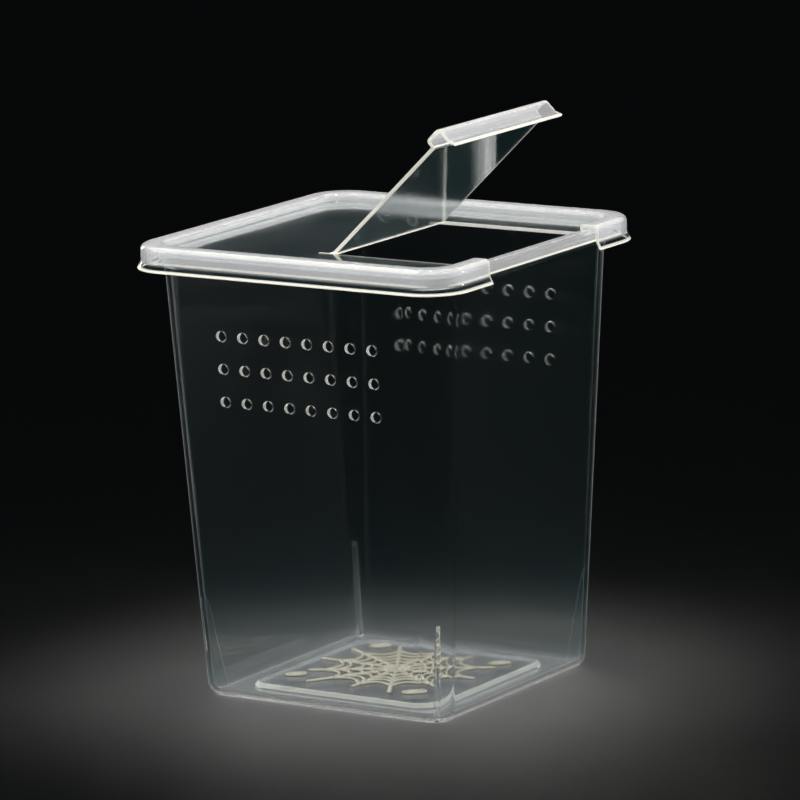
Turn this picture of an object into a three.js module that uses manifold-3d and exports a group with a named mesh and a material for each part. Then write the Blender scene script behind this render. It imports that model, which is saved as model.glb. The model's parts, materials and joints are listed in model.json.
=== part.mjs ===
// A clear plastic keeping box with a ventilated tub and a push-on lid.
// A door flap swings up out of the lid on a moulded living hinge.
// Millimetres, +Z up. The origin is the middle of the foot, on the surface that the box stands on.
import * as THREE from "three";
import { mergeVertices } from "three/addons/utils/BufferGeometryUtils.js";
import Module from "manifold-3d";

const wasm = await Module();
wasm.setup();

// Driving dimensions of the tub. "Half" is half the width of a square, measured on its flat sides.
const FOOT_HALF = 34.16; // outer half-width where the walls would meet the ground
const DRAFT = 0.0617; // outward lean of each wall, per millimetre of height
const FOOT_CORNER = 5.5; // radius of the upright corners at the ground
const CORNER_GROWTH = 0.048; // growth of that radius, per millimetre of height
const WALL = 1.2;
const FOOT_ROUNDING = 3; // rounding between the foot and the walls

// The floor is a raised square platform inside a lower border, which is the foot on the underside.
const PLATFORM_HALF = 25.4;
const PLATFORM_CORNER = 5;
const PLATFORM_TOP = 2.5;
const BORDER_TOP = 1.2;
const STEP_WIDTH = 0.8; // run of the slope between border and platform

// The tub's rim is an inverted U that the lid snaps over.
const LIP_TOP = 108.9;
const LIP_BOTTOM = 105.8;
const LIP_HALF = 42.8;
const LIP_CORNER = 8;
const LIP_SHEET = 0.8;
const MOUTH_HALF = 40.3;
const MOUTH_CORNER = 7.3;
const MOUTH_FLARE_FROM = 104; // height at which the walls open out to the mouth
const MOUTH_FLARE_TO = 106.4;

// Vent holes go through the front and the back walls.
const VENT_COLUMNS = 8;
const VENT_PITCH_X = 6;
const VENT_ROWS = 3;
const VENT_PITCH_Z = 7.95;
const VENT_MIDDLE_Z = 81.3;
const VENT_RADIUS = 1.25;

// Slim upright ribs in the four corners keep stacked tubs from jamming.
const RIB_TOP = 24;
const RIB_WIDTH = 1.2;
const RIB_PROUD = 1;

// A raised web of plain strands and four ovals decorate the platform.
const WEB_SPOKES = 12;
const WEB_LONG_SPOKE = 22.5;
const WEB_SHORT_SPOKE = 20;
const WEB_RING_RADII = [5, 8.7, 12.4, 16.1];
const STRAND_WIDTH = 0.9;
const STRAND_PROUD = 0.5;
const OVAL_SPREAD = [18, 16.5];
const OVAL_RADII = [2.8, 1.4];

// Driving dimensions of the lid. Its flanged rim is an inverted U around a sunken pane.
const LID_TOP = 110;
const RIM_HALF = 44.3; // outer half-width below the rim's rounded top edge
const RIM_CORNER = 9.5;
const FLANGE_HALF = 45.35; // outer half-width at the skirt's lower edge
const FLANGE_BOTTOM = 104.1;
const RIM_SHEET = 0.8;
const RIM_ROUNDING = 0.8;
const WELL_HALF = 39.3; // half-width of the sunken well inside the rim
const WELL_CORNER = 6.3;
const WELL_SHEET = 0.7;
const PANE_TOP = 108;
const PANE_SHEET = 0.9;

// The door takes the right half of the pane and the middle of the right side of the rim.
const HINGE_X = 0.3;
const DOOR_HALF = 23.5; // half-width of the flap
const DOOR_GAP = 0.7; // gap along each side edge of the flap
const HINGE_GAP = 0.7; // from the hinge axis to the pane's edge on each side
const HINGE_RADIUS = 0.38;
const SLIT_REACH = 2.7; // how far the side gaps run past the hinge
const OPEN_ANGLE = THREE.MathUtils.degToRad(43.4); // the flap's opening as it is drawn

const CORNER_STEPS = 6; // segments in each rounded corner
const ROUNDING_STEPS = 3; // segments in each rounded edge
const CUT_CLEAR = 5; // how far a cutting tool runs past what it cuts

const CLEAR_PLASTIC = { color: 0xd5dddb, roughness: 0.12, metalness: 0, transparent: true };

function clearPlastic(opacity) {
  return new THREE.MeshStandardMaterial({ ...CLEAR_PLASTIC, opacity });
}

function toSolid(geometry) {
  const bare = geometry.clone();
  bare.deleteAttribute("normal");
  bare.deleteAttribute("uv");
  const merged = mergeVertices(bare, 1e-4);
  const vertProperties = merged.attributes.position.array;
  const triVerts = new Uint32Array(merged.index.array);
  return new wasm.Manifold(new wasm.Mesh({ numProp: 3, vertProperties, triVerts }));
}

function toGeometry(solid) {
  const { vertProperties, triVerts } = solid.getMesh();
  const geometry = new THREE.BufferGeometry();
  geometry.setAttribute("position", new THREE.BufferAttribute(vertProperties, 3));
  geometry.setIndex(new THREE.BufferAttribute(triVerts, 1));
  geometry.computeVertexNormals();
  return geometry;
}

function boxSolid(size, centre) {
  return toSolid(new THREE.BoxGeometry(...size).translate(...centre));
}

// One level of a lofted square: half its width, its corner radius and its height.
function level(half, corner, z) {
  return { half, corner, z };
}

// The points of one level, anticlockwise as seen from above.
function squareRing({ half, corner, z }) {
  const points = [];
  for (let side = 0; side < 4; side++) {
    const centre = new THREE.Vector2(half - corner, half - corner);
    centre.rotateAround(new THREE.Vector2(), (side * Math.PI) / 2);
    for (let step = 0; step <= CORNER_STEPS; step++) {
      const angle = ((side + step / CORNER_STEPS) * Math.PI) / 2;
      const x = centre.x + corner * Math.cos(angle);
      const y = centre.y + corner * Math.sin(angle);
      points.push(new THREE.Vector3(x, y, z));
    }
  }
  return points;
}

// Skins a run of levels into a closed body. The run starts in the middle of the underside and
// ends in the middle of the top, so its first and last level are each closed by a fan.
function loft(levels) {
  const rings = levels.map(squareRing);
  const count = rings[0].length;
  const points = rings.flat();
  const bottomCentre = points.push(new THREE.Vector3(0, 0, levels[0].z)) - 1;
  const topCentre = points.push(new THREE.Vector3(0, 0, levels.at(-1).z)) - 1;
  const lastRing = (rings.length - 1) * count;
  const triangles = [];
  for (let here = 0; here < count; here++) {
    const next = (here + 1) % count;
    triangles.push(bottomCentre, next, here);
    triangles.push(topCentre, lastRing + here, lastRing + next);
    for (let low = 0; low < lastRing; low += count) {
      const high = low + count;
      triangles.push(low + here, low + next, high + next);
      triangles.push(low + here, high + next, high + here);
    }
  }
  const geometry = new THREE.BufferGeometry().setFromPoints(points);
  geometry.setIndex(triangles);
  return geometry;
}

// Quarter-circle points as [distance along the first way, distance along the second way].
function quarterTurn(radius) {
  const points = [];
  for (let step = 0; step <= ROUNDING_STEPS; step++) {
    const angle = (step / ROUNDING_STEPS) * (Math.PI / 2);
    points.push([radius * Math.sin(angle), radius * (1 - Math.cos(angle))]);
  }
  return points;
}

// The outside of the tub's wall at a height, and the inside as an offset of it.
function wallLevel(z, inset = 0) {
  const half = FOOT_HALF + DRAFT * z - inset;
  const corner = FOOT_CORNER + CORNER_GROWTH * z - inset;
  return level(half, corner, z);
}

function tubUnderside() {
  const foot = wallLevel(0, FOOT_ROUNDING);
  const rounding = quarterTurn(FOOT_ROUNDING).map(([out, up]) => {
    const outer = wallLevel(up, FOOT_ROUNDING - out);
    return level(outer.half, outer.corner, up);
  });
  const recessTop = PLATFORM_TOP - BORDER_TOP;
  return [
    level(PLATFORM_HALF - STEP_WIDTH, PLATFORM_CORNER - STEP_WIDTH, recessTop),
    level(PLATFORM_HALF, PLATFORM_CORNER, 0),
    foot,
    ...rounding.slice(1),
  ];
}

function tubLip() {
  const legHalf = MOUTH_HALF + LIP_SHEET;
  const legCorner = MOUTH_CORNER + LIP_SHEET;
  const skirtHalf = LIP_HALF - LIP_SHEET;
  const skirtCorner = LIP_CORNER - LIP_SHEET;
  const roof = LIP_TOP - LIP_SHEET;
  const edge = LIP_SHEET / 2;
  return [
    wallLevel(MOUTH_FLARE_FROM + LIP_SHEET),
    level(legHalf, legCorner, MOUTH_FLARE_TO + LIP_SHEET / 2),
    level(legHalf, legCorner, roof),
    level(skirtHalf, skirtCorner, roof),
    level(skirtHalf, skirtCorner, LIP_BOTTOM),
    level(LIP_HALF, LIP_CORNER, LIP_BOTTOM),
    level(LIP_HALF, LIP_CORNER, LIP_TOP - edge),
    level(LIP_HALF - edge, LIP_CORNER - edge, LIP_TOP),
    level(MOUTH_HALF + edge, MOUTH_CORNER + edge, LIP_TOP),
    level(MOUTH_HALF, MOUTH_CORNER, LIP_TOP - edge),
    level(MOUTH_HALF, MOUTH_CORNER, MOUTH_FLARE_TO),
    wallLevel(MOUTH_FLARE_FROM, WALL),
  ];
}

function tubInside() {
  const rounding = FOOT_ROUNDING - WALL;
  const fillet = quarterTurn(rounding).map(([down, inward]) => {
    return wallLevel(BORDER_TOP + rounding - down, WALL + inward);
  });
  return [
    ...fillet,
    level(PLATFORM_HALF + STEP_WIDTH, PLATFORM_CORNER + STEP_WIDTH, BORDER_TOP),
    level(PLATFORM_HALF, PLATFORM_CORNER, PLATFORM_TOP),
  ];
}

function ventHoles() {
  const reach = 2 * (LIP_HALF + CUT_CLEAR);
  const holes = [];
  for (let row = 0; row < VENT_ROWS; row++) {
    for (let column = 0; column < VENT_COLUMNS; column++) {
      const x = (column - (VENT_COLUMNS - 1) / 2) * VENT_PITCH_X;
      const z = VENT_MIDDLE_Z + (row - (VENT_ROWS - 1) / 2) * VENT_PITCH_Z;
      const drill = new THREE.CylinderGeometry(VENT_RADIUS, VENT_RADIUS, reach, 10);
      holes.push(toSolid(drill.translate(x, 0, z)));
    }
  }
  return wasm.Manifold.union(holes);
}

// How far a level's inner corner lies from the middle, along the square's diagonal.
function cornerReach({ half, corner }) {
  return (half - corner) * Math.SQRT2 + corner;
}

// Each rib is a slim plate on the diagonal, standing on the floor and leaning with the corner.
function cornerRibs() {
  const sunk = WALL / 2;
  const foot = BORDER_TOP - sunk;
  const footReach = cornerReach(wallLevel(foot, WALL));
  const topReach = cornerReach(wallLevel(RIB_TOP, WALL));
  const outline = new THREE.Shape([
    new THREE.Vector2(footReach - RIB_PROUD - FOOT_ROUNDING, foot),
    new THREE.Vector2(footReach - sunk, foot),
    new THREE.Vector2(topReach + sunk, RIB_TOP - RIB_PROUD),
    new THREE.Vector2(topReach, RIB_TOP),
    new THREE.Vector2(topReach - RIB_PROUD, RIB_TOP - RIB_PROUD),
  ]);
  const plate = new THREE.ExtrudeGeometry(outline, { depth: RIB_WIDTH, bevelEnabled: false });
  plate.translate(0, 0, -RIB_WIDTH / 2).rotateX(Math.PI / 2);
  const ribs = [1, 3, 5, 7].map((eighth) => {
    return toSolid(plate.clone().rotateZ((eighth * Math.PI) / 4));
  });
  return wasm.Manifold.union(ribs);
}

// One straight strand of the web between two points of the platform.
function strand(start, end) {
  const along = end.clone().sub(start);
  const middle = start.clone().add(end).multiplyScalar(0.5);
  const height = STRAND_PROUD * 2;
  const bar = new THREE.BoxGeometry(along.length() + STRAND_WIDTH, STRAND_WIDTH, height);
  return toSolid(bar.rotateZ(along.angle()).translate(middle.x, middle.y, PLATFORM_TOP));
}

function platformWeb() {
  const pieces = [];
  const onSpoke = (spoke, radius) => {
    const angle = (spoke / WEB_SPOKES) * 2 * Math.PI;
    return new THREE.Vector2(radius * Math.cos(angle), radius * Math.sin(angle));
  };
  for (let spoke = 0; spoke < WEB_SPOKES; spoke++) {
    const length = spoke % 2 ? WEB_LONG_SPOKE : WEB_SHORT_SPOKE;
    pieces.push(strand(new THREE.Vector2(), onSpoke(spoke, length)));
    for (const radius of WEB_RING_RADII) {
      pieces.push(strand(onSpoke(spoke, radius), onSpoke(spoke + 1, radius)));
    }
  }
  for (const [signX, signY] of [[1, 1], [-1, 1], [-1, -1], [1, -1]]) {
    const oval = new THREE.CylinderGeometry(1, 1, STRAND_PROUD * 2, 16).rotateX(Math.PI / 2);
    oval.scale(OVAL_RADII[0], OVAL_RADII[1], 1).rotateZ((signX * signY * -Math.PI) / 4);
    oval.translate(signX * OVAL_SPREAD[0], signY * OVAL_SPREAD[1], PLATFORM_TOP);
    pieces.push(toSolid(oval));
  }
  return wasm.Manifold.union(pieces);
}

function makeTub() {
  const shell = toSolid(loft([...tubUnderside(), ...tubLip(), ...tubInside()]));
  const furnished = wasm.Manifold.union([shell, cornerRibs(), platformWeb()]);
  return furnished.subtract(ventHoles());
}

// The rim's section from the inside foot of the well's wall, over the top and down into the well,
// as [half-width, height, centre of its corner's curve].
function rimSection() {
  const outerCentre = RIM_HALF - RIM_CORNER;
  const wellCentre = WELL_HALF - WELL_CORNER;
  const legHalf = WELL_HALF + WELL_SHEET;
  const roof = LID_TOP - RIM_SHEET;
  const lean = (FLANGE_HALF - RIM_HALF) / (LID_TOP - RIM_ROUNDING - FLANGE_BOTTOM);
  const outerEdge = quarterTurn(RIM_ROUNDING).map(([up, inward]) => {
    return [RIM_HALF - inward, LID_TOP - RIM_ROUNDING + up, outerCentre];
  });
  const wellEdge = quarterTurn(RIM_ROUNDING).map(([inward, down]) => {
    return [WELL_HALF + RIM_ROUNDING - inward, LID_TOP - down, wellCentre];
  });
  return [
    [legHalf, PANE_TOP - PANE_SHEET, wellCentre],
    [legHalf, roof, wellCentre],
    [RIM_HALF - RIM_SHEET, roof, outerCentre],
    [FLANGE_HALF - RIM_SHEET - lean, FLANGE_BOTTOM, outerCentre],
    [FLANGE_HALF, FLANGE_BOTTOM, outerCentre],
    ...outerEdge,
    ...wellEdge,
    [WELL_HALF, PANE_TOP, wellCentre],
  ];
}

function makeLidFrame() {
  const closedLid = loft(
    rimSection().map(([half, z, centre]) => level(half, half - centre, z)),
  );
  const doorSide = DOOR_HALF + DOOR_GAP;
  const left = HINGE_X - HINGE_GAP;
  const right = FLANGE_HALF + CUT_CLEAR;
  const height = LID_TOP - FLANGE_BOTTOM + 2 * CUT_CLEAR;
  const middleZ = (LID_TOP + FLANGE_BOTTOM) / 2;
  const doorway = boxSolid([right - left, 2 * doorSide, height], [(left + right) / 2, 0, middleZ]);
  const slitLength = SLIT_REACH + HINGE_GAP;
  const slits = [-1, 1].map((side) => {
    const centre = [HINGE_X - slitLength / 2, side * (doorSide - DOOR_GAP / 2), middleZ];
    return boxSolid([slitLength, DOOR_GAP, height], centre);
  });
  return toSolid(closedLid).subtract(wasm.Manifold.union([doorway, ...slits]));
}

// The flap's side view: its pane, then the piece of rim that closes the gap in the lid's rim.
// It is drawn closed, from the hinge axis, with the pane running along +X.
function makeFlap() {
  const outline = new THREE.Shape();
  outline.moveTo(HINGE_GAP, 0);
  outline.lineTo(HINGE_GAP, -PANE_SHEET);
  for (const [half, z] of rimSection()) {
    outline.lineTo(half - HINGE_X, z - PANE_TOP);
  }
  outline.closePath();
  const width = 2 * DOOR_HALF;
  const flap = new THREE.ExtrudeGeometry(outline, { depth: width, bevelEnabled: false });
  return flap.translate(0, 0, -width / 2).rotateX(Math.PI / 2);
}

function makeHinge() {
  const length = 2 * DOOR_HALF;
  return new THREE.CylinderGeometry(HINGE_RADIUS, HINGE_RADIUS, length, 12);
}

function named(name, geometry, material) {
  const mesh = new THREE.Mesh(geometry, material);
  mesh.name = name;
  return mesh;
}

const box = new THREE.Group();
box.add(named("tub", toGeometry(makeTub()), clearPlastic(0.3)));

const lid = new THREE.Group();
lid.add(named("lid_frame", toGeometry(makeLidFrame()), clearPlastic(0.45)));

const door = new THREE.Group();
door.position.set(HINGE_X, 0, PANE_TOP);
const hinge = named("living_hinge", makeHinge(), clearPlastic(0.6));
const flap = named("flap", makeFlap(), clearPlastic(0.35));
flap.rotation.y = -OPEN_ANGLE;
door.add(hinge, flap);
lid.add(door);
box.add(lid);

export default box;
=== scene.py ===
"""A clear plastic keeping box: a vented tub, a push-on lid and a half-open door flap.

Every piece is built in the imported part's frame. Sizes below are millimetres, and a mesh
is turned into metres when it is made. The driving sizes come from the frame's boxes.
"""
import json
import math
import random

import bmesh
import bpy
from mathutils import Matrix, Vector


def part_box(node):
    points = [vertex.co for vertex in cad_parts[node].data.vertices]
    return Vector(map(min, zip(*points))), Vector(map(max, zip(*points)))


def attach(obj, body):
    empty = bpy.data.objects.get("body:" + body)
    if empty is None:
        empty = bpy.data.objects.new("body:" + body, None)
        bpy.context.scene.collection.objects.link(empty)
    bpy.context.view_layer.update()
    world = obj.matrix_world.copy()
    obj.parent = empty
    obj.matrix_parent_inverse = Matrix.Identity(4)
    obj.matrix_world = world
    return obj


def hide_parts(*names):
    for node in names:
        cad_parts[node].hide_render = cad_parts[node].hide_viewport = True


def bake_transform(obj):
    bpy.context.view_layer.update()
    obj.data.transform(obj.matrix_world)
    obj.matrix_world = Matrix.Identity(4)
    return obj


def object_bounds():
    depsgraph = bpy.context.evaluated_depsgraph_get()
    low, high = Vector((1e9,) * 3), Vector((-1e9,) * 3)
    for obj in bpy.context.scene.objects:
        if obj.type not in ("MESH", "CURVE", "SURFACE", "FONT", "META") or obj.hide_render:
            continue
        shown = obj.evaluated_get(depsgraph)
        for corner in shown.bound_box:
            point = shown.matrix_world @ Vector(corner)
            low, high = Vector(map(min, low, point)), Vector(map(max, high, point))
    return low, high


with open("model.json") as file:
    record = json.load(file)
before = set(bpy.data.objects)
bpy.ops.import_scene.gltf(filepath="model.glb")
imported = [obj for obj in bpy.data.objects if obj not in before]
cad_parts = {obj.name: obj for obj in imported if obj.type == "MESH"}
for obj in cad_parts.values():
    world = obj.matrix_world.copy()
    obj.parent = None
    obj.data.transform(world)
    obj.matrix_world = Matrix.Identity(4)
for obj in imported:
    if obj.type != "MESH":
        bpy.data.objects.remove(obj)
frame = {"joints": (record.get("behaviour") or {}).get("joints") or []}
cad_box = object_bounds()

MM = 0.001
scene = bpy.context.scene


def box_corners(node):
    """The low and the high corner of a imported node's box, in millimetres."""
    return [[value / MM for value in corner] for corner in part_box(node)]


tub_high = box_corners("tub")[1]
lid_low, lid_high = box_corners("lid_frame")
flap_high = box_corners("flap")[1]
hinge_joint = next(joint for joint in frame["joints"] if joint["name"] == "flap_hinge")

# Tub. "Half" is half the width of a square, and "centre" is where its corner's arc is centred.
FOOT_HALF = 34.16
DRAFT = 0.0617  # outward lean of a wall, per millimetre of height
FOOT_CENTRE = 28.66
CENTRE_LEAN = 0.0137
WALL = 1.2
FOOT_ROUNDING = 3.0
PLATFORM_HALF = 25.4
PLATFORM_CENTRE = 20.4
PLATFORM_TOP = 2.5
BORDER_TOP = 1.2
STEP_WIDTH = 0.8
LIP_TOP = tub_high[2]
LIP_HALF = tub_high[0]
LIP_BOTTOM = LIP_TOP - 3.1
LIP_CENTRE = 34.8
MOUTH_HALF = 40.3
MOUTH_CENTRE = 33.0
MOUTH_FLARE_FROM = 104.0
MOUTH_FLARE_TO = 106.4
LIP_SHEET = 0.8

# Vent holes, through the front and the back walls.
VENT_COLUMNS = 8
VENT_PITCH_X = 6.0
VENT_ROWS = 3
VENT_PITCH_Z = 7.95
VENT_MIDDLE_Z = 81.3
VENT_RADIUS = 1.25
VENT_FLARE = 0.1
VENT_FLARE_STEPS = 4
VENT_FLARE_PAST = 0.02  # how far a flare goes on past the wall's face
VENT_DRILL_PAST = 1.0  # how far a drill sticks out of the wall
VENT_SEGMENTS = 28

# Corner ribs inside the tub.
RIB_TOP = 24.0
RIB_WIDTH = 0.9
RIB_PROUD = 1.0

# Lid.
LID_TOP = lid_high[2]
FLANGE_HALF = lid_high[0]
FLANGE_BOTTOM = lid_low[2]
SKIRT_HALF = 44.3
SKIRT_FOOT = LIP_BOTTOM + 0.2  # where the skirt turns outwards into the flange
RIM_SHEET = 0.8
RIM_ROUNDING = 1.3
WELL_HALF = 39.3
WELL_CENTRE = 33.0
WELL_SHEET = 0.7
PANE_SHEET = 0.9
PANE_INSET = 2.0  # from the well's wall to the edge of the pane's flat middle

# Door.
HINGE_X = hinge_joint["pos_m"][0] / MM
PANE_TOP = hinge_joint["pos_m"][2] / MM
OPEN_ANGLE = -math.radians(hinge_joint["range_deg"][0])
DOOR_HALF = flap_high[1]
DOOR_GAP = 0.7
HINGE_GAP = 0.7
SLIT_REACH = 2.7
HINGE_SHEET = 0.35
HINGE_CLEAR = 0.02  # between the hinge web's edges and the two sheets
HINGE_HALF_STEPS = 6
HINGE_ROWS = 24

CORNER_STEPS = 16
ROUNDING_STEPS = 5
LONGEST_REACH = 0.48  # the share of a side that a rounding may use up
LEAST_REACH = 1e-4  # a corner that is rounded less than this stays sharp
CUT_CLEAR = 5.0  # how far a cutting tool reaches past what it cuts
BEVEL_WIDTH = 0.12
BEVEL_ANGLE = 50  # degrees that an edge turns before it is bevelled
BEVEL_WELD = 0.004  # points this close after a bevel become one


# ---------------------------------------------------------------- mesh code
def make_object(name, points, faces, smooth=True):
    """Makes a mesh object from points in millimetres, with its faces pointing out."""
    mesh = bpy.data.meshes.new(name)
    mesh.from_pydata([Vector(point) * MM for point in points], [], faces)
    mesh.polygons.foreach_set("use_smooth", [smooth] * len(mesh.polygons))
    outward = bmesh.new()
    outward.from_mesh(mesh)
    if outward.calc_volume(signed=True) < 0:
        bmesh.ops.reverse_faces(outward, faces=outward.faces)
    outward.to_mesh(mesh)
    outward.free()
    obj = bpy.data.objects.new(name, mesh)
    scene.collection.objects.link(obj)
    return obj


def skin_faces(count, total, reverse=False):
    """Faces that join rings of count points into a tube and close both of its ends."""
    start = tuple(range(count))
    end = tuple(range(total - count, total))
    faces = [start, end[::-1]] if reverse else [start[::-1], end]
    for low in range(0, total - count, count):
        for here in range(count):
            after = (here + 1) % count
            side = (low + here, low + after, low + count + after, low + count + here)
            faces.append(side[:1] + side[:0:-1] if reverse else side)
    return faces


def bake_modifiers(obj):
    """Turns an object's modifiers into its mesh."""
    evaluated = obj.evaluated_get(bpy.context.evaluated_depsgraph_get())
    baked = bpy.data.meshes.new_from_object(evaluated)
    obj.modifiers.clear()
    obj.data = baked


def cut_or_join(obj, tools, operation):
    """Cuts tool objects out of obj, or joins them to it, and removes them."""
    for tool in tools:
        modifier = obj.modifiers.new(tool.name, "BOOLEAN")
        modifier.operation = operation
        modifier.solver = "EXACT"
        modifier.object = tool
    bake_modifiers(obj)
    for tool in tools:
        bpy.data.objects.remove(tool)


def follow_flats(obj):
    """Lets large flat faces rule the shading at their edges, so that they stay flat."""
    modifier = obj.modifiers.new("flats", "WEIGHTED_NORMAL")
    modifier.mode = "FACE_AREA"
    modifier.weight = 100
    modifier.keep_sharp = True
    bake_modifiers(obj)


def rounded(section):
    """Rounds the corners of an open section.

    A section point is (half, height, centre, radius). The result drops the radius.
    """
    result = [section[0][:3]]
    for before, point, after in zip(section, section[1:], section[2:]):
        here = Vector(point[:2])
        back = Vector(before[:2]) - here
        ahead = Vector(after[:2]) - here
        turn = math.pi - back.angle(ahead)
        reach = point[3] * math.tan(turn / 2)
        reach = min(reach, LONGEST_REACH * back.length, LONGEST_REACH * ahead.length)
        back.normalize()
        ahead.normalize()
        if reach < LEAST_REACH:
            result.append(point[:3])
            continue
        radius = reach / math.tan(turn / 2)
        middle = here + (back + ahead).normalized() * (radius / math.cos(turn / 2))
        start = here + back * reach - middle
        side = 1 if back.x * ahead.y - back.y * ahead.x < 0 else -1
        steps = max(2, round(ROUNDING_STEPS * turn / (math.pi / 2)))
        for step in range(steps + 1):
            angle = side * turn * step / steps
            arm = Matrix.Rotation(angle, 2) @ start
            result.append((middle.x + arm.x, middle.y + arm.y, point[2]))
    result.append(section[-1][:3])
    return result


def square_ring(half, height, centre):
    """Points of a rounded square, anticlockwise as seen from above."""
    corner = half - centre
    points = []
    for side in range(4):
        turn = Matrix.Rotation(side * math.pi / 2, 2)
        for step in range(CORNER_STEPS + 1):
            angle = step / CORNER_STEPS * math.pi / 2
            spot = turn @ Vector((centre + corner * math.cos(angle), centre + corner * math.sin(angle)))
            points.append((spot.x, spot.y, height))
    return points


def loft(name, section):
    """Skins a section round a square. It starts under the middle and ends above it."""
    points = []
    for half, height, centre in section:
        points += square_ring(half, height, centre)
    return make_object(name, points, skin_faces(4 * (CORNER_STEPS + 1), len(points)))


def box_tool(name, low, high):
    """A plain block between two opposite corners."""
    xs, ys, zs = zip(low, high)
    corners = [(x, y, z) for z in zs for y in ys for x in xs]
    faces = [(0, 2, 3, 1), (4, 5, 7, 6), (0, 1, 5, 4), (2, 6, 7, 3), (0, 4, 6, 2), (1, 3, 7, 5)]
    return make_object(name, corners, faces, smooth=False)


def lathe_tool(name, profile, segments, place):
    """Spins (radius, height) points about Z, closes both ends and moves the result by a matrix."""
    points = []
    for radius, height in profile:
        for step in range(segments):
            angle = step / segments * 2 * math.pi
            spot = Vector((radius * math.cos(angle), radius * math.sin(angle), height))
            points.append(place @ spot)
    return make_object(name, points, skin_faces(segments, len(points)))


def joined(name, objects):
    """Joins loose objects into one mesh without merging their surfaces."""
    whole = bmesh.new()
    for obj in objects:
        whole.from_mesh(obj.data)
        bpy.data.objects.remove(obj)
    mesh = bpy.data.meshes.new(name)
    whole.to_mesh(mesh)
    whole.free()
    obj = bpy.data.objects.new(name, mesh)
    scene.collection.objects.link(obj)
    return obj


# ---------------------------------------------------------------- tub
def wall_at(height, inset=0.0):
    """Half-width and corner centre of the tub's wall at a height."""
    return FOOT_HALF + DRAFT * height - inset, FOOT_CENTRE + CENTRE_LEAN * height


def tub_section():
    """From under the platform, out and up over the lip, then down inside to the platform's top."""
    def wall(height, inset, radius):
        half, centre = wall_at(height, inset)
        return half, height, centre, radius

    leg = MOUTH_HALF + LIP_SHEET
    roof = LIP_TOP - LIP_SHEET
    return [
        (PLATFORM_HALF - STEP_WIDTH, PLATFORM_TOP - BORDER_TOP, PLATFORM_CENTRE - STEP_WIDTH, 0),
        (PLATFORM_HALF - STEP_WIDTH / 2, PLATFORM_TOP - BORDER_TOP, PLATFORM_CENTRE, 0.3),
        (PLATFORM_HALF, 0, PLATFORM_CENTRE, 0.3),
        wall(0, 0, FOOT_ROUNDING),
        wall(MOUTH_FLARE_FROM + LIP_SHEET, 0, 2),
        (leg, MOUTH_FLARE_TO + LIP_SHEET / 2, MOUTH_CENTRE, 0.8),
        (leg, roof, MOUTH_CENTRE, 0.25),
        (LIP_HALF - LIP_SHEET, roof, LIP_CENTRE, 0.25),
        (LIP_HALF - LIP_SHEET, LIP_BOTTOM, LIP_CENTRE, 0.15),
        (LIP_HALF, LIP_BOTTOM, LIP_CENTRE, 0.2),
        (LIP_HALF, LIP_TOP, LIP_CENTRE, 0.6),
        (MOUTH_HALF, LIP_TOP, MOUTH_CENTRE, 0.6),
        (MOUTH_HALF, MOUTH_FLARE_TO, MOUTH_CENTRE, 1.2),
        wall(MOUTH_FLARE_FROM, WALL, 2),
        wall(BORDER_TOP, WALL, FOOT_ROUNDING - WALL),
        (PLATFORM_HALF + STEP_WIDTH, BORDER_TOP, PLATFORM_CENTRE, 0.5),
        (PLATFORM_HALF, PLATFORM_TOP, PLATFORM_CENTRE, 0.5),
        (PLATFORM_HALF - STEP_WIDTH, PLATFORM_TOP, PLATFORM_CENTRE - STEP_WIDTH, 0),
    ]


def vent_tools():
    """Drills with flared mouths, square to the walls."""
    outside = WALL / 2
    profile = [(VENT_RADIUS, 0.0)]
    for step in range(VENT_FLARE_STEPS + 1):
        angle = step / VENT_FLARE_STEPS * math.pi / 2
        out = VENT_RADIUS + VENT_FLARE * (1 - math.cos(angle))
        rise = (VENT_FLARE + VENT_FLARE_PAST) * math.sin(angle)
        profile.append((out, outside - VENT_FLARE + rise))
    profile.append((VENT_RADIUS + VENT_FLARE, outside + VENT_DRILL_PAST))
    mirrored = [(radius, -height) for radius, height in profile[:0:-1]]
    lean = math.atan(DRAFT)
    tools = []
    for side in (-1, 1):
        square_on = Matrix.Rotation(side * (lean - math.pi / 2), 4, "X")
        for row in range(VENT_ROWS):
            for column in range(VENT_COLUMNS):
                x = (column - (VENT_COLUMNS - 1) / 2) * VENT_PITCH_X
                z = VENT_MIDDLE_Z + (row - (VENT_ROWS - 1) / 2) * VENT_PITCH_Z
                y = side * (wall_at(z)[0] - WALL / 2 / math.cos(lean))
                place = Matrix.Translation((x, y, z)) @ square_on
                tools.append(lathe_tool("vent", mirrored + profile, VENT_SEGMENTS, place))
    return joined("vents", tools)


def rib_tools():
    """Slim upright plates on the diagonals, from the floor up the corners."""
    def reach(height):
        """From the middle of the tub to the inside of a corner."""
        half, centre = wall_at(height, WALL)
        return centre * math.sqrt(2) + half - centre

    sunk = WALL / 2
    foot = BORDER_TOP - sunk
    outline = [
        (reach(foot) - FOOT_ROUNDING - RIB_PROUD, foot),
        (reach(foot) - sunk, foot),
        (reach(RIB_TOP) + sunk, RIB_TOP - RIB_PROUD),
        (reach(RIB_TOP), RIB_TOP),
        (reach(RIB_TOP) - RIB_PROUD, RIB_TOP - RIB_PROUD),
    ]
    ribs = []
    for eighth in (1, 3, 5, 7):
        turn = Matrix.Rotation(eighth * math.pi / 4, 3, "Z")
        points = [turn @ Vector((out, side * RIB_WIDTH / 2, z)) for side in (1, -1) for out, z in outline]
        faces = skin_faces(len(outline), len(points))
        ribs.append(make_object("rib", points, faces, smooth=False))
    return joined("ribs", ribs)


def make_tub():
    tub = loft("clear_tub", rounded(tub_section()))
    cut_or_join(tub, [rib_tools()], "UNION")
    cut_or_join(tub, [vent_tools()], "DIFFERENCE")
    follow_flats(tub)
    return tub


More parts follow.
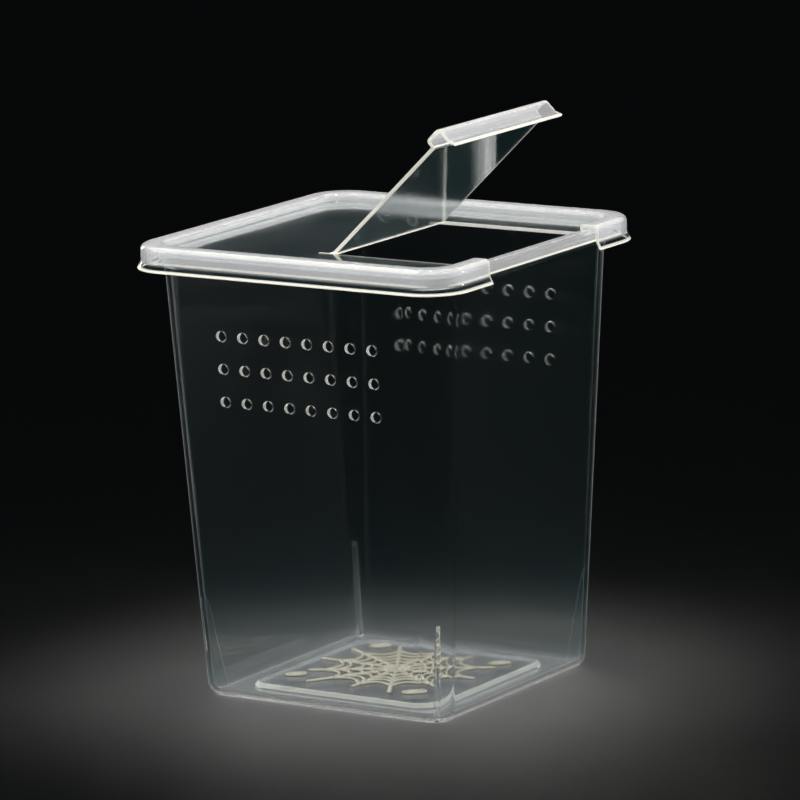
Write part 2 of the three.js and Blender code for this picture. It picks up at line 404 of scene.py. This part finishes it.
# ---------------------------------------------------------------- lid
def rim_section():
    """The lid's section from under the pane, over the rim and down into the well."""
    leg = WELL_HALF + WELL_SHEET
    roof = LID_TOP - RIM_SHEET
    return [
        (leg, PANE_TOP - PANE_SHEET, WELL_CENTRE, 0.3),
        (leg, roof, WELL_CENTRE, 0.3),
        (SKIRT_HALF - RIM_SHEET, roof, LIP_CENTRE, 0.5),
        (SKIRT_HALF - RIM_SHEET + 0.05, SKIRT_FOOT, LIP_CENTRE, 1.6),
        (FLANGE_HALF - RIM_SHEET, FLANGE_BOTTOM, LIP_CENTRE, 0.15),
        (FLANGE_HALF, FLANGE_BOTTOM, LIP_CENTRE, 0.25),
        (SKIRT_HALF + 0.05, SKIRT_FOOT, LIP_CENTRE, 0.8),
        (SKIRT_HALF, LID_TOP, LIP_CENTRE, RIM_ROUNDING),
        (WELL_HALF, LID_TOP, WELL_CENTRE, RIM_ROUNDING),
        (WELL_HALF, PANE_TOP, WELL_CENTRE, 0.3),
    ]


def make_lid():
    pane_edge = WELL_HALF - PANE_INSET
    pane_centre = WELL_CENTRE - PANE_INSET
    section = [
        (pane_edge, PANE_TOP - PANE_SHEET, pane_centre, 0),
        *rim_section(),
        (pane_edge, PANE_TOP, pane_centre, 0),
    ]
    lid = loft("clear_lid", rounded(section))
    door_side = DOOR_HALF + DOOR_GAP
    floor = FLANGE_BOTTOM - CUT_CLEAR
    top = LID_TOP + CUT_CLEAR
    near = (HINGE_X - HINGE_GAP, -door_side, floor)
    far = (FLANGE_HALF + CUT_CLEAR, door_side, top)
    tools = [box_tool("doorway", near, far)]
    for side in (-1, 1):
        edges = sorted((side * door_side, side * DOOR_HALF))
        low = (HINGE_X - HINGE_GAP - SLIT_REACH, edges[0], floor)
        high = (HINGE_X, edges[1], top)
        tools.append(box_tool("slit", low, high))
    cut_or_join(lid, tools, "DIFFERENCE")
    bevel_cuts(lid)
    follow_flats(lid)
    return lid


def bevel_cuts(obj):
    """Takes the sharpness off edges that a cut left."""
    modifier = obj.modifiers.new("cuts", "BEVEL")
    modifier.limit_method = "ANGLE"
    modifier.angle_limit = math.radians(BEVEL_ANGLE)
    modifier.width = BEVEL_WIDTH * MM
    modifier.segments = 2
    modifier.miter_outer = "MITER_ARC"
    weld = obj.modifiers.new("weld", "WELD")
    weld.merge_threshold = BEVEL_WELD * MM
    bake_modifiers(obj)


# ---------------------------------------------------------------- door
def make_flap():
    """Built closed, then turned open about the hinge."""
    section = rounded([
        (HINGE_X + HINGE_GAP, PANE_TOP, 0, 0),
        (HINGE_X + HINGE_GAP, PANE_TOP - PANE_SHEET, 0, 0.1),
        *rim_section(),
        (HINGE_X + HINGE_GAP, PANE_TOP, 0, 0),
    ])[:-1]
    points = [(x, side * DOOR_HALF, z) for side in (1, -1) for x, z, _ in section]
    flap = make_object("clear_flap", points, skin_faces(len(section), len(points), reverse=True))
    bevel_cuts(flap)
    follow_flats(flap)
    axis_point = Vector((HINGE_X, 0, PANE_TOP)) * MM
    there = Matrix.Translation(axis_point)
    flap.matrix_world = there @ Matrix.Rotation(-OPEN_ANGLE, 4, "Y") @ there.inverted()
    return flap


def make_hinge():
    """The thin bending web, drawn closed and then bent to the open angle."""
    end = HINGE_GAP - HINGE_CLEAR
    half_profile = [
        (end, PANE_SHEET),
        (HINGE_GAP * 0.85, PANE_SHEET * 0.8),
        (HINGE_GAP * 0.5, HINGE_SHEET * 1.2),
    ]
    under = [(-x, -drop) for x, drop in half_profile] + [(0, -HINGE_SHEET)]
    under += [(x, -drop) for x, drop in half_profile[::-1]]
    over = [(end * (1 - step / HINGE_HALF_STEPS), 0) for step in range(2 * HINGE_HALF_STEPS + 1)]
    outline = under + over
    bent = []
    for x, z in outline:
        share = min(max((x + HINGE_GAP) / (2 * HINGE_GAP), 0), 1)
        share = share * share * (3 - 2 * share)  # eased, so the web starts and ends in line
        spot = Matrix.Rotation(share * OPEN_ANGLE, 2) @ Vector((x, z))
        bent.append((HINGE_X + spot.x, PANE_TOP + spot.y))
    points = []
    for row in range(HINGE_ROWS + 1):
        y = DOOR_HALF * (1 - 2 * row / HINGE_ROWS)
        points += [(x, y, z) for x, z in bent]
    return make_object("hinge_web", points, skin_faces(len(bent), len(points), reverse=True))


# ---------------------------------------------------------------- floor web
WEB_SEED = 7
WEB_SPOKES = 12
WEB_TIP = 22.0
WEB_RINGS = (3.8, 7.0, 10.2, 13.4, 17.0)
WEB_SAG = 0.16
ANGLE_SCATTER = 0.08  # either way, as a share of the angle between two spokes
TIP_SCATTER = (0.88, 1.08)
RING_SCATTER = (0.95, 1.05)
SPOKE_WIDTHS = (0.9, 1.3)  # at the middle and at the tip
SPOKE_STEPS = 10
STRAND_WIDTHS = (0.8, 1.8)  # halfway and where a strand joins its spokes
STRAND_WIDENING = 5  # the power that keeps the widening close to the spokes
STRAND_STEPS = 12
RIDGE_HEIGHT = 0.6
RIDGE_SECTION = ((-0.5, 0), (-0.34, 0.8), (-0.15, 1), (0.15, 1), (0.34, 0.8), (0.5, 0))  # shares
SUNK = 0.05  # how deep a ridge starts under the platform's top
OVAL_SPOTS = ((-18.8, -15.3), (15.8, -17.4), (18.8, 15.3), (-15.8, 17.4))
OVAL_RINGS = ((2.4, 1.2), (0.9, 0.3))  # half the length and half the width of each ring
OVAL_LEAN = math.radians(40)
OVAL_WIDTH = 0.9
OVAL_STEPS = 28


def ridge(name, path, widths):
    """A low flat-topped ridge along flat path points, standing on the platform."""
    points = []
    for index, (spot, width) in enumerate(zip(path, widths)):
        ahead = path[min(index + 1, len(path) - 1)] - path[max(index - 1, 0)]
        side = Vector((-ahead.y, ahead.x)).normalized()
        for out, up in RIDGE_SECTION:
            place = spot + side * out * width
            points.append((place.x, place.y, PLATFORM_TOP - SUNK + RIDGE_HEIGHT * up))
    return make_object(name, points, skin_faces(len(RIDGE_SECTION), len(points), reverse=True))


def spread(count):
    """Evenly spaced shares from 0 to 1."""
    return [step / count for step in range(count + 1)]


def web_spoke(angle, tip):
    """A spoke from the middle of the web out to its tip."""
    way = Vector((math.cos(angle), math.sin(angle)))
    inner, outer = SPOKE_WIDTHS
    path = [way * tip * share for share in spread(SPOKE_STEPS)]
    widths = [inner + (outer - inner) * share for share in spread(SPOKE_STEPS)]
    return ridge("spoke", path, widths)


def web_strand(start, end):
    """A strand between two (angle, radius) knots, sagging towards the middle."""
    middle_width, end_width = STRAND_WIDTHS
    path, widths = [], []
    for share in spread(STRAND_STEPS):
        angle = start[0] + (end[0] - start[0]) * share
        radius = start[1] + (end[1] - start[1]) * share
        radius *= 1 - WEB_SAG * math.sin(math.pi * share)
        path.append(Vector((radius * math.cos(angle), radius * math.sin(angle))))
        near_spoke = abs(2 * share - 1) ** STRAND_WIDENING
        widths.append(middle_width + (end_width - middle_width) * near_spoke)
    return ridge("strand", path, widths)


def web_oval(x, y, radii):
    """One ring of an oval, round the point (x, y)."""
    lean = Matrix.Rotation(OVAL_LEAN, 2)
    path = []
    for share in spread(OVAL_STEPS):
        angle = share * 2 * math.pi
        arm = Vector((radii[0] * math.cos(angle), radii[1] * math.sin(angle)))
        path.append(Vector((x, y)) + lean @ arm)
    return ridge("oval", path, [OVAL_WIDTH] * len(path))


def make_web():
    """A plain orb web in relief, with a small oval near each corner of the platform."""
    rng = random.Random(WEB_SEED)
    step = 2 * math.pi / WEB_SPOKES
    angles = [(spoke + rng.uniform(-ANGLE_SCATTER, ANGLE_SCATTER)) * step for spoke in range(WEB_SPOKES)]
    angles.append(angles[0] + 2 * math.pi)
    pieces = [web_spoke(angle, WEB_TIP * rng.uniform(*TIP_SCATTER)) for angle in angles[:-1]]
    for ring in WEB_RINGS:
        knots = [ring * rng.uniform(*RING_SCATTER) for _ in range(WEB_SPOKES)]
        knots.append(knots[0])
        ends = list(zip(angles, knots))
        pieces += [web_strand(start, end) for start, end in zip(ends, ends[1:])]
    for x, y in OVAL_SPOTS:
        pieces += [web_oval(x, y, radii) for radii in OVAL_RINGS]
    return joined("floor_web", pieces)


# ---------------------------------------------------------------- materials
MILK = (0.85, 0.85, 0.86, 1)
HAZE = (0.22, 0.74, 0.80, 1)
# cream of the painted highlights along edges, cut faces and lines
HIGHLIGHT_CREAM = (0.93, 0.91, 0.81, 1)
RELIEF = (0.41, 0.385, 0.305, 1)
BOARD = (1.0, 0.99, 0.965)
LAMP_TINT = (0.95, 0.955, 0.96, 1)  # what a surface lets through of a lamp's light
TINT = (0.95, 0.975, 0.98, 1)  # of the clear plastic itself
PLASTIC_IOR = 1.49


class Nodes:
    """A short way to write a material's nodes."""

    def __init__(self, name):
        self.material = bpy.data.materials.new(name)
        self.material.use_nodes = True
        self.tree = self.material.node_tree
        self.tree.nodes.clear()

    def add(self, kind, settings=None, **inputs):
        """Adds a node. An underscore in an input's name stands for a space."""
        node = self.tree.nodes.new("ShaderNode" + kind)
        for key, value in (settings or {}).items():
            setattr(node, key, value)
        for key, value in inputs.items():
            self.put(node.inputs[key.replace("_", " ")], value)
        return node

    def put(self, socket, value):
        """Links a socket to another one, or sets it to a plain value."""
        if isinstance(value, bpy.types.NodeSocket):
            self.tree.links.new(value, socket)
        else:
            socket.default_value = value

    def math(self, operation, *values):
        node = self.add("Math", {"operation": operation})
        for socket, value in zip(node.inputs, values):
            self.put(socket, value)
        return node.outputs[0]

    def ramp(self, value, low, high, to_low=0.0, to_high=1.0):
        """An eased step from to_low to to_high while the value goes from low to high."""
        node = self.add("MapRange", {"interpolation_type": "SMOOTHSTEP"})
        for key, number in zip(("Value", "From Min", "From Max", "To Min", "To Max"),
                               (value, low, high, to_low, to_high)):
            self.put(node.inputs[key], number)
        return node.outputs[0]

    def blend(self, share, first, second):
        node = self.add("MixShader")
        for socket, value in zip(node.inputs, (share, first, second)):
            self.put(socket, value)
        return node.outputs[0]

    def mix_colour(self, share, first, second):
        node = self.add("Mix", {"data_type": "RGBA"})
        sockets = (node.inputs[0], node.inputs[6], node.inputs[7])  # the share and the two colours
        for socket, value in zip(sockets, (share, first, second)):
            self.put(socket, value)
        return node.outputs[2]  # the colour

    def noise(self, scale, detail=3.0, stretch=(1, 1, 1)):
        place = self.add("TexCoord").outputs["Object"]
        mapping = self.add("Mapping", Scale=stretch)
        self.put(mapping.inputs["Vector"], place)
        node = self.add("TexNoise", Scale=scale, Detail=detail)
        self.put(node.inputs["Vector"], mapping.outputs[0])
        return node.outputs["Fac"]

    def output(self, surface):
        node = self.add("OutputMaterial")
        self.put(node.inputs["Surface"], surface)
        return self.material


def object_axes(nodes):
    """The x, y and z of a point in the object's own frame, in metres."""
    split = nodes.add("SeparateXYZ")
    nodes.put(split.inputs[0], nodes.add("TexCoord").outputs["Object"])
    return split.outputs


def glowing(nodes, colour, roughness):
    """Cloudy plastic that is lit from both sides."""
    front = nodes.add("BsdfPrincipled", Base_Color=colour, Roughness=roughness, IOR=PLASTIC_IOR)
    behind = nodes.add("BsdfTranslucent", Color=colour)
    return nodes.blend(0.5, front.outputs[0], behind.outputs[0])


def let_lamps_through(nodes, surface):
    """Light from the lamps goes through to what is behind, a little dimmed at each surface."""
    lamps = nodes.add("LightPath").outputs["Is Shadow Ray"]
    return nodes.blend(lamps, surface, nodes.add("BsdfTransparent", Color=LAMP_TINT).outputs[0])


def clear_plastic(name, milk_at, silhouette_milk_and_highlight):
    """Clear moulded plastic, milky where milk_at says and where it is seen edge on.

    The milk seen edge on is partly the longer path through hazy plastic and partly a painted highlight
    along the silhouettes. A faint haze is teal, more of it is milk, and the parts with the most, the
    painted highlight lines, are cream.
    """
    nodes = Nodes(name)
    smears = nodes.noise(35, detail=4, stretch=(1, 1, 0.25))
    roughness = nodes.math("MULTIPLY_ADD", smears, 0.05, 0.02)
    swell = nodes.noise(22, detail=1, stretch=(1, 1, 0.3))
    bump = nodes.add("Bump", Strength=0.12, Distance=0.0006, Height=swell)
    clear = nodes.add("BsdfPrincipled", Base_Color=TINT, Roughness=roughness, IOR=PLASTIC_IOR)
    clear.inputs["Transmission Weight"].default_value = 1.0
    nodes.put(clear.inputs["Normal"], bump.outputs[0])
    # more milk edge on: partly a longer path through hazy plastic, partly a painted highlight on
    # silhouettes
    edge_on = nodes.math("POWER", nodes.add("LayerWeight", Blend=0.5).outputs["Facing"], 10.0)
    share = nodes.math("MULTIPLY_ADD", edge_on, silhouette_milk_and_highlight, milk_at(nodes))
    hazy_or_milky = nodes.mix_colour(nodes.ramp(share, 0.008, 0.03), HAZE, MILK)
    colour = nodes.mix_colour(nodes.ramp(share, 0.5, 0.7), hazy_or_milky, HIGHLIGHT_CREAM)
    cloudy = nodes.blend(share, clear.outputs[0], glowing(nodes, colour, 0.2))
    return nodes.output(let_lamps_through(nodes, cloudy))


def painted_highlight_plastic(name, share):
    """Painted highlight for thin edges and cut faces: a cream glow that stands in for the light that comes
    out of a clear sheet's edges.
    """
    nodes = Nodes(name)
    uneven = nodes.math("MULTIPLY", nodes.math("MULTIPLY_ADD", nodes.noise(150), 0.4, 0.8), share)
    clear = nodes.add("BsdfPrincipled", Base_Color=TINT, Roughness=0.12, IOR=PLASTIC_IOR)
    clear.inputs["Transmission Weight"].default_value = 1.0
    bright = nodes.blend(uneven, clear.outputs[0], glowing(nodes, HIGHLIGHT_CREAM, 0.3))
    return nodes.output(let_lamps_through(nodes, bright))


def outwards(nodes, x, y):
    """Distance from the middle, measured squarely."""
    return nodes.math("MAXIMUM", nodes.math("ABSOLUTE", x), nodes.math("ABSOLUTE", y))


def tub_milk(nodes):
    """A little milky towards the foot, milky in the lip, and a painted highlight line along the lip's
    lower edge.
    """
    x, y, z = object_axes(nodes)
    low = nodes.ramp(z, 0.0, 6 * MM, 0.035, 0.0)
    rise = nodes.ramp(z, 0.0, 40 * MM, 0.006, 0.0)
    lip = nodes.ramp(z, 104.5 * MM, 106.5 * MM, 0.0, 0.16)
    leg = nodes.ramp(outwards(nodes, x, y), (LIP_HALF - LIP_SHEET - 0.3) * MM, (LIP_HALF - LIP_SHEET) * MM)
    # painted highlight line along the lip's lower edge
    foot_line = nodes.ramp(z, (LIP_BOTTOM + 0.4) * MM, (LIP_BOTTOM + 0.6) * MM, 0.7, 0.0)
    line = nodes.math("MULTIPLY", leg, foot_line)
    total = nodes.math("ADD", nodes.math("ADD", low, rise), nodes.math("MAXIMUM", lip, line))
    grain = nodes.math("MULTIPLY_ADD", nodes.noise(60), 0.5, 0.75)
    return nodes.math("MULTIPLY", nodes.math("ADD", total, 0.001), grain)


def pane_milk(nodes):
    """The same faint haze everywhere."""
    return 0.002


def rim_milk(nodes, over_lip_only):
    """Clear pane and milky rim, with painted light: the rim whiter on top, a highlight along the outer
    fold and a bright line along the flange.
    """
    x, y, z = object_axes(nodes)
    out = outwards(nodes, x, y)
    beyond = nodes.ramp(out, (WELL_HALF + 0.2) * MM, (WELL_HALF + 0.8) * MM)
    above = nodes.ramp(z, (PANE_TOP + 0.1) * MM, (PANE_TOP + 0.5) * MM)
    rim = nodes.math("MAXIMUM", beyond, above)
    if over_lip_only:
        over_lip = nodes.ramp(z, (SKIRT_FOOT - 0.7) * MM, (SKIRT_FOOT + 0.1) * MM)
        rim = nodes.math("MULTIPLY", rim, over_lip)
    # the rim's milk, with more painted on top to stand for light from above
    milk_and_painted_top_light = nodes.ramp(z, (LID_TOP - 1.8) * MM, (LID_TOP - 0.4) * MM, 0.2, 0.27)
    grain = nodes.math("MULTIPLY_ADD", nodes.noise(60), 0.3, 0.85)
    # painted highlight along the outer rounding
    fold = SKIRT_HALF + LID_TOP - 0.4 * RIM_ROUNDING  # out plus up, just past the outer rounding
    painted_fold_highlight = nodes.ramp(nodes.math("ADD", out, z), (fold - 0.7) * MM, (fold - 0.3) * MM, 0.0, 0.33)
    milk_and_painted_top_light = nodes.math("ADD", milk_and_painted_top_light, painted_fold_highlight)
    milk = nodes.math("MULTIPLY", nodes.math("MULTIPLY_ADD", rim, milk_and_painted_top_light, 0.004), grain)
    # painted highlight line along the flange's lower edge
    line = nodes.ramp(z, (FLANGE_BOTTOM + 0.4) * MM, (FLANGE_BOTTOM + 0.6) * MM, 0.8, 0.0)
    return nodes.math("MAXIMUM", milk, line)


def lid_milk(nodes):
    return rim_milk(nodes, over_lip_only=True)


def flap_milk(nodes):
    return rim_milk(nodes, over_lip_only=False)


def hinge_milk(nodes):
    """Cloudy all over, because a web that bends goes pale."""
    return nodes.math("MULTIPLY_ADD", nodes.noise(400, detail=2), 0.3, 0.45)


def frosted_relief(name):
    """The rough cream look of the web and the ovals, lit from both sides."""
    nodes = Nodes(name)
    grain = nodes.noise(900, detail=4)
    bump = nodes.add("Bump", Strength=0.3, Distance=0.0001, Height=grain)
    cream = nodes.add("BsdfPrincipled", Base_Color=RELIEF, Roughness=0.45, IOR=PLASTIC_IOR)
    nodes.put(cream.inputs["Normal"], bump.outputs[0])
    through = nodes.add("BsdfTranslucent", Color=RELIEF)
    return nodes.output(nodes.blend(0.35, cream.outputs[0], through.outputs[0]))


def plain_floor(name):
    nodes = Nodes(name)
    grain = nodes.noise(8)
    shade = nodes.math("MULTIPLY_ADD", grain, 0.03, 0.6)
    colour = nodes.add("CombineColor")
    for socket, share in zip(colour.inputs, BOARD):
        nodes.put(socket, nodes.math("MULTIPLY", shade, share))
    board = nodes.add("BsdfPrincipled", Roughness=0.7, Base_Color=colour.outputs[0])
    return nodes.output(board.outputs[0])


# ---------------------------------------------------------------- which faces get painted highlights
# Places in a piece's list of materials. BRIGHT, SOFT and DIM are painted highlights of three strengths.
PLAIN, BRIGHT, SOFT, DIM, VENT_BORE = range(5)
FLAP_DIM = 2  # the flap has no soft painted highlights, so its dim ones come next after the bright

EDGE_LINE = 0.25  # height of the painted highlight line along a lower edge
BEVEL_ROOM = 0.15  # past a cut face, so that its bevels are marked with it
LEVEL_FACE = 0.9  # a normal with this much z, or more, belongs to a level face
WALL_FACE = 0.85  # a normal with more y than this belongs to the wall's own face
VENT_HIGHLIGHT_WAY = (0.8, -0.6)  # x and z of the way that the vents' sides with a painted highlight face
VENT_HIGHLIGHT_LEAST = -0.3  # how far along that way a painted side's normal points, at least
# where the dim painted highlight along the foot's edge goes
FOOT_EDGE_TOP = 0.3
FOOT_EDGE_FROM = 31.0  # out from the middle
STEP_LINE = 0.7  # height of the soft painted highlight line along the platform's step
STEP_CLEAR = 0.02  # below the platform's top, which isn't part of the step
LIP_ROOM = 0.1  # inside the lip's outer leg
MARK_ROOM = 1.0  # past the platform's edge, and short of the clip bar


def mark_painted_highlights(obj, kind_of_face):
    """Sets each face's material, plain or painted highlight, by its middle, in millimetres, and its
    normal.
    """
    for polygon in obj.data.polygons:
        polygon.material_index = kind_of_face(polygon.center / MM, polygon.normal)


def vent_side(middle, normal):
    """PLAIN outside the vents.

    Inside them, a painted highlight on the side that faces the light: SOFT, or DIM in the back wall;
    VENT_BORE elsewhere.
    """
    row = round((middle.z - VENT_MIDDLE_Z) / VENT_PITCH_Z)
    column = round(middle.x / VENT_PITCH_X - 0.5)
    if abs(row) > VENT_ROWS // 2 or not -VENT_COLUMNS / 2 <= column < VENT_COLUMNS / 2:
        return PLAIN
    if abs(normal.y) > WALL_FACE:
        return PLAIN
    away_x = middle.x - (column + 0.5) * VENT_PITCH_X
    away_z = middle.z - VENT_MIDDLE_Z - row * VENT_PITCH_Z
    if math.hypot(away_x, away_z) > VENT_RADIUS + VENT_FLARE:
        return PLAIN
    way_x, way_z = VENT_HIGHLIGHT_WAY
    if way_x * normal.x + way_z * normal.z < VENT_HIGHLIGHT_LEAST:
        return VENT_BORE
    return DIM if middle.y > 0 else SOFT


def tub_painted_highlights(middle, normal):
    """Painted highlights: BRIGHT for the lip's lower edge, SOFT for the platform's step and DIM for the
    foot's edge.
    """
    vent = vent_side(middle, normal)
    if vent != PLAIN:
        return vent
    out = max(abs(middle.x), abs(middle.y))
    if middle.z < FOOT_EDGE_TOP and out > FOOT_EDGE_FROM:
        return DIM
    on_step = PLATFORM_TOP - STEP_LINE < middle.z < PLATFORM_TOP - STEP_CLEAR
    if on_step and out < PLATFORM_HALF + MARK_ROOM:
        return SOFT
    lip = middle.z < LIP_BOTTOM + EDGE_LINE and out > LIP_HALF - LIP_SHEET - LIP_ROOM
    return BRIGHT if lip else PLAIN


def lid_painted_highlights(middle, normal):
    """Painted BRIGHT highlights on the skirt's lower edge and on the faces where the doorway and its slits
    are cut.
    """
    far_side = DOOR_HALF + DOOR_GAP + BEVEL_ROOM
    start = HINGE_X - HINGE_GAP - SLIT_REACH - BEVEL_ROOM
    side = DOOR_HALF - BEVEL_ROOM < abs(middle.y) < far_side and middle.x > start
    fold = abs(middle.y) < DOOR_HALF and abs(middle.x - HINGE_X + HINGE_GAP) < BEVEL_ROOM
    cut = (side or fold) and abs(normal.z) < LEVEL_FACE
    return BRIGHT if cut or middle.z < FLANGE_BOTTOM + EDGE_LINE else PLAIN


def flap_painted_highlights(middle, normal):
    """Painted highlights: BRIGHT for the cut ends, the hinge edge and the clip bar's free edge, dim for
    the pane's far end.
    """
    end = abs(middle.y) > DOOR_HALF - BEVEL_ROOM
    from_hinge = math.hypot(middle.x - HINGE_X, middle.z - PANE_TOP)
    in_pane = from_hinge < WELL_HALF - HINGE_X - MARK_ROOM
    if end and in_pane and middle.y > 0:
        return FLAP_DIM
    fold = middle.x < HINGE_X + HINGE_GAP + BEVEL_ROOM
    return BRIGHT if end or fold or middle.z < FLANGE_BOTTOM + EDGE_LINE else PLAIN


# ---------------------------------------------------------------- building
tub_plastic = clear_plastic("tub_clear_plastic", tub_milk, silhouette_milk_and_highlight=0.8)
lid_plastic = clear_plastic("lid_clear_plastic", lid_milk, silhouette_milk_and_highlight=0.04)
flap_plastic = clear_plastic("flap_clear_plastic", flap_milk, silhouette_milk_and_highlight=0.04)
hinge_plastic = clear_plastic("hinge_stressed_plastic", hinge_milk, silhouette_milk_and_highlight=0.1)
# painted cream highlights of three strengths, for edges, cut faces and the vents' lit sides
bright_painted_highlight = painted_highlight_plastic("bright_painted_highlight_plastic", share=0.8)
soft_painted_highlight = painted_highlight_plastic("vent_painted_highlight_plastic", share=0.42)  # painted highlight on the vents' lit sides, and also on the platform's step
dim_painted_highlight = painted_highlight_plastic("dim_painted_highlight_plastic", share=0.12)
vent_plastic = clear_plastic("vent_clear_plastic", pane_milk, silhouette_milk_and_highlight=0.0)
relief_plastic = frosted_relief("frosted_relief")

tub = make_tub()
web = make_web()
lid = make_lid()
flap = make_flap()
hinge = make_hinge()

for piece, *materials in (
    (tub, tub_plastic, bright_painted_highlight, soft_painted_highlight, dim_painted_highlight, vent_plastic),
    (web, relief_plastic),
    (lid, lid_plastic, bright_painted_highlight),
    (flap, flap_plastic, bright_painted_highlight, dim_painted_highlight),
    (hinge, hinge_plastic),
):
    piece.data.materials.clear()
    for material in materials:
        piece.data.materials.append(material)

mark_painted_highlights(tub, tub_painted_highlights)
mark_painted_highlights(lid, lid_painted_highlights)
mark_painted_highlights(flap, flap_painted_highlights)

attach(tub, "tub")
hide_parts("tub")
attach(web, "tub")
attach(lid, "lid")
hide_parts("lid_frame")
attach(flap, "flap")
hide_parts("flap")
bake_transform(hinge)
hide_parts("living_hinge")


# ---------------------------------------------------------------- camera
AZIMUTH = math.radians(33.02)
ELEVATION = math.radians(11.55)
ROLL = math.radians(-1.63)
DISTANCE = 1.45265
AIM_OFFSET = Vector((0.00203, 0.00125, -0.00119))  # from the middle of the object's box
LENS = 274.4
SENSOR_WIDTH = 36
FARTHEST_SEEN = 20


def make_camera():
    aim = (cad_box[0] + cad_box[1]) / 2 + AIM_OFFSET
    back = Vector((
        math.sin(AZIMUTH) * math.cos(ELEVATION),
        -math.cos(AZIMUTH) * math.cos(ELEVATION),
        math.sin(ELEVATION),
    ))
    camera = bpy.data.objects.new("camera", bpy.data.cameras.new("camera"))
    scene.collection.objects.link(camera)
    camera.data.lens = LENS
    camera.data.sensor_width = SENSOR_WIDTH
    camera.data.clip_end = FARTHEST_SEEN
    level = back.to_track_quat("Z", "Y").to_matrix().to_4x4()
    camera.matrix_world = Matrix.Translation(aim + back * DISTANCE) @ level @ Matrix.Rotation(ROLL, 4, "Z")
    scene.camera = camera


# ---------------------------------------------------------------- floor and light
FLOOR_RADIUS = 3.0  # metres
FLOOR_SEGMENTS = 96
FLOOR_DROP = 0.3  # millimetres below the foot


def make_floor():
    points = []
    for step in range(FLOOR_SEGMENTS):
        angle = step / FLOOR_SEGMENTS * 2 * math.pi
        x = FLOOR_RADIUS * math.cos(angle) / MM
        y = FLOOR_RADIUS * math.sin(angle) / MM
        points.append((x, y, -FLOOR_DROP))
    floor = make_object("floor", points, [tuple(range(FLOOR_SEGMENTS))])
    floor.data.materials.append(plain_floor("floor_board"))


SOFTBOX_SPREAD = 60  # degrees
SOFTBOX_AIM = (0, 0, 0.1)
POOL_AIM = (0, 0, 0)
WARM = (1, 0.96, 0.88)
COOL = (0.94, 0.97, 1)
WHITE = (1, 0.99, 0.98)
SURROUNDINGS = (0.003, 0.0037, 0.004, 1)


def place_lamp(name, light, place, aim):
    """Puts a light at one point and turns it towards another, both in metres."""
    lamp = bpy.data.objects.new(name, light)
    scene.collection.objects.link(lamp)
    lamp.location = place
    lamp.rotation_euler = (Vector(aim) - Vector(place)).to_track_quat("-Z", "Y").to_euler()
    return lamp


def softbox(name, place, size, power, colour, glossy):
    """A rectangular lamp that lights the box and leaves the floor alone."""
    light = bpy.data.lights.new(name, "AREA")
    light.shape = "RECTANGLE"
    light.size, light.size_y = size
    light.energy = power
    light.color = colour
    light.spread = math.radians(SOFTBOX_SPREAD)
    lamp = place_lamp(name, light, place, SOFTBOX_AIM)
    lamp.light_linking.receiver_collection = box_pieces
    lamp.visible_camera = False
    lamp.visible_glossy = glossy
    lamp.visible_transmission = False


def pool(name, place, width, power, radius):
    """A round soft-edged pool of light on the floor and the box."""
    light = bpy.data.lights.new(name, "SPOT")
    light.spot_size = math.radians(width)
    light.spot_blend = 1
    light.energy = power
    light.shadow_soft_size = radius
    place_lamp(name, light, place, POOL_AIM)


box_pieces = bpy.data.collections.new("box_pieces")
for piece in (tub, web, lid, flap, hinge):
    box_pieces.objects.link(piece)


def make_light():
    world = bpy.data.worlds.new("studio")
    world.use_nodes = True
    world.node_tree.nodes["Background"].inputs[0].default_value = SURROUNDINGS
    scene.world = world
    pool("overhead", (0.0, 0.0, 1.0), width=9.4, power=8, radius=0.05)
    softbox("left_key", (-0.24, -0.54, 0.75), size=(0.5, 0.5), power=1.3, colour=WHITE, glossy=False)
    softbox("right_key", (0.58, -0.02, 0.75), size=(0.4, 0.4), power=0.9, colour=WHITE, glossy=False)
    softbox("back_strip", (-0.35, 0.7, 0.9), size=(0.8, 0.2), power=0.3, colour=WHITE, glossy=True)
    softbox("left_gloss", (-0.24, -0.36, 0.9), size=(0.3, 0.2), power=0.5, colour=WHITE, glossy=True)
    softbox("right_gloss", (0.46, 0.0, 0.9), size=(0.2, 0.2), power=0.3, colour=WHITE, glossy=True)
    softbox("left_edge", (-0.6, 0.22, 0.2), size=(0.05, 0.3), power=0.2, colour=WARM, glossy=True)
    softbox("right_edge", (0.6, 0.5, 0.2), size=(0.05, 0.3), power=0.2, colour=COOL, glossy=True)


make_camera()
make_floor()
make_light()

scene.view_settings.view_transform = "Standard"
scene.cycles.use_denoising = True
scene.cycles.caustics_reflective = False
scene.cycles.caustics_refractive = False
scene.cycles.max_bounces = 24
scene.cycles.transmission_bounces = 24
scene.cycles.glossy_bounces = 12
scene.cycles.transparent_max_bounces = 32
